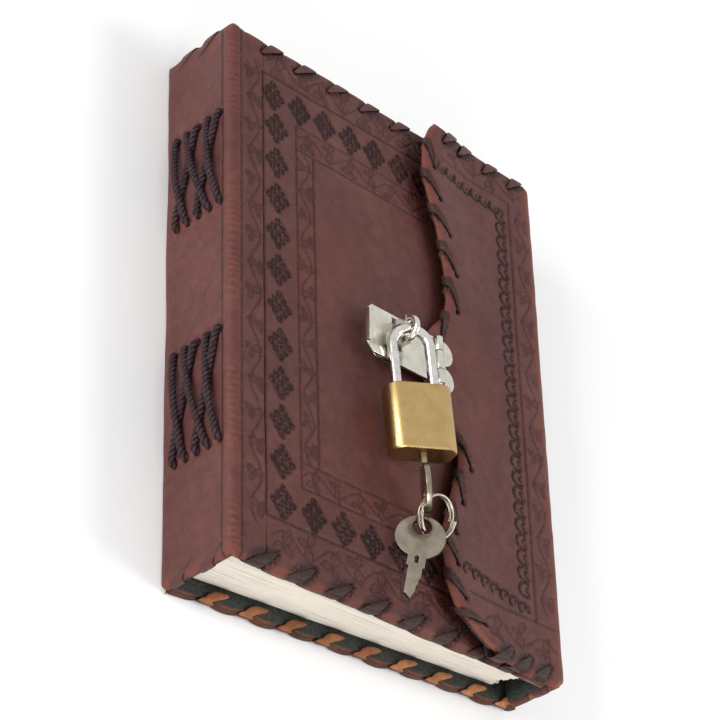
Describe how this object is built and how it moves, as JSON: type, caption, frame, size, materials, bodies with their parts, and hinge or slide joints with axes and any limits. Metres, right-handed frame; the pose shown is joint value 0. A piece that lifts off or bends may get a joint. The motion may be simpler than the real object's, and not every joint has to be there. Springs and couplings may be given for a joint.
{
  "type": "lockable diary",
  "caption": "Hand-bound leather diary with a laced, scalloped wrap flap that closes over the front cover and locks with a hasp, staple and small brass padlock with key.",
  "frame": {"origin": "middle of the back cover's outer face, which the diary rests on", "axes": "+X from spine to fore edge, +Y from tail to head, +Z out of the front cover"},
  "size_m": [0.1344, 0.176, 0.0428],
  "materials": {
    "leather": "dark mauve-brown tooled leather with a waxed gloss and red-brown wear on folds and edges",
    "lining": "green-black cloth",
    "lace": "flat dark leather lace, tan on the cut edge",
    "paper": "cream handmade paper",
    "cord": "waxed purple-brown cord",
    "nickel": "nickel-plated steel",
    "brass": "brushed brass",
    "steel": "plated steel"
  },
  "bodies": {
    "book": {"back_cover": "leather", "back_lining": "lining", "back_lacing": "lace", "spine_panel": "leather", "spine_lining": "lining", "spine_lacing": "lace", "gathering_1": "paper", "gathering_2": "paper", "gathering_3": "paper", "gathering_4": "paper", "gathering_5": "paper", "upper_sewing": "cord", "lower_sewing": "cord"},
    "front_cover": {"front_cover": "leather", "front_lining": "lining", "front_lacing": "lace", "staple_plate": "nickel", "staple": "nickel", "staple_rivets": "nickel"},
    "strip": {"fore_edge_strip": "leather", "strip_lining": "lining", "strip_lacing": "lace"},
    "flap": {"flap": "leather", "flap_lining": "lining", "flap_lacing": "lace", "hasp_base": "nickel", "hasp_rivets": "nickel", "hasp_pin": "nickel"},
    "hasp_leaf": {"hasp_leaf": "nickel"},
    "shackle": {"shackle": "steel"},
    "padlock_body": {"padlock_body": "brass", "stop_pins": "steel", "shackle_spring": "steel", "latch_spring": "steel"},
    "latch": {"latch": "steel"},
    "plug": {"plug": "brass", "wafers": "brass"},
    "key": {"key": "steel"},
    "key_ring": {"key_ring": "steel"},
    "spare_key": {"spare_key": "steel"}
  },
  "joints": [
    {"name": "cover_open", "type": "hinge", "parent": "book", "child": "front_cover", "pos_m": [-0.065, 0, 0.03], "axis": [0, -1, 0], "range_deg": [0, 175]},
    {"name": "strip_open", "type": "hinge", "parent": "book", "child": "strip", "pos_m": [0.065, 0, 0], "axis": [0, 1, 0], "range_deg": [0, 70]},
    {"name": "flap_open", "type": "hinge", "parent": "strip", "child": "flap", "pos_m": [0.06494, 0, 0.02479], "axis": [0, 1, 0], "range_deg": [0, 104]},
    {"name": "leaf_lift", "type": "hinge", "parent": "flap", "child": "hasp_leaf", "pos_m": [0.01465, 0.0002, 0.03039], "axis": [0, 1, 0], "range_deg": [0, 21]},
    {"name": "padlock_swing", "type": "hinge", "parent": "front_cover", "child": "shackle", "pos_m": [-0.0025, 0.002, 0.03563], "axis": [-0.9157, -0.0746, -0.395], "range_deg": [0, 175]},
    {"name": "padlock_drop", "type": "slide", "parent": "shackle", "child": "padlock_body", "axis": [0.0835, -0.9965, -0.0055], "range_m": [0, 0.0081], "deforming": ["shackle_spring"]},
    {"name": "latch_slide", "type": "slide", "parent": "padlock_body", "child": "latch", "axis": [-0.9157, -0.0746, -0.395], "range_m": [0, 0.0016], "deforming": ["latch_spring"]},
    {"name": "key_turn", "type": "hinge", "parent": "padlock_body", "child": "plug", "pos_m": [-0.0025, 0.002, 0.03563], "axis": [0.0835, -0.9965, -0.0055], "range_deg": [0, 90]},
    {"name": "key_pull", "type": "slide", "parent": "plug", "child": "key", "axis": [0.0835, -0.9965, -0.0055], "range_m": [0, 0.012]},
    {"name": "ring_swing", "type": "hinge", "parent": "key", "child": "key_ring", "pos_m": [0.00205, -0.05231, 0.03533], "axis": [-0.7827, -0.0622, -0.6193], "range_deg": [0, 40]},
    {"name": "spare_key_swing", "type": "hinge", "parent": "key_ring", "child": "spare_key", "pos_m": [0.00277, -0.06, 0.03187], "axis": [-0.5919, 0.1401, 0.7937], "range_deg": [0, 54]}
  ],
  "couplings": [
    {"joint": "leaf_lift", "follows": "flap_open", "ratio": 0.2},
    {"joint": "key_turn", "follows": "padlock_drop", "rad_per_m": 193.93},
    {"joint": "latch_slide", "follows": "padlock_drop", "ratio": 0.19753},
    {"joint": "spare_key_swing", "follows": "padlock_drop", "rad_per_m": 116.36}
  ]
}
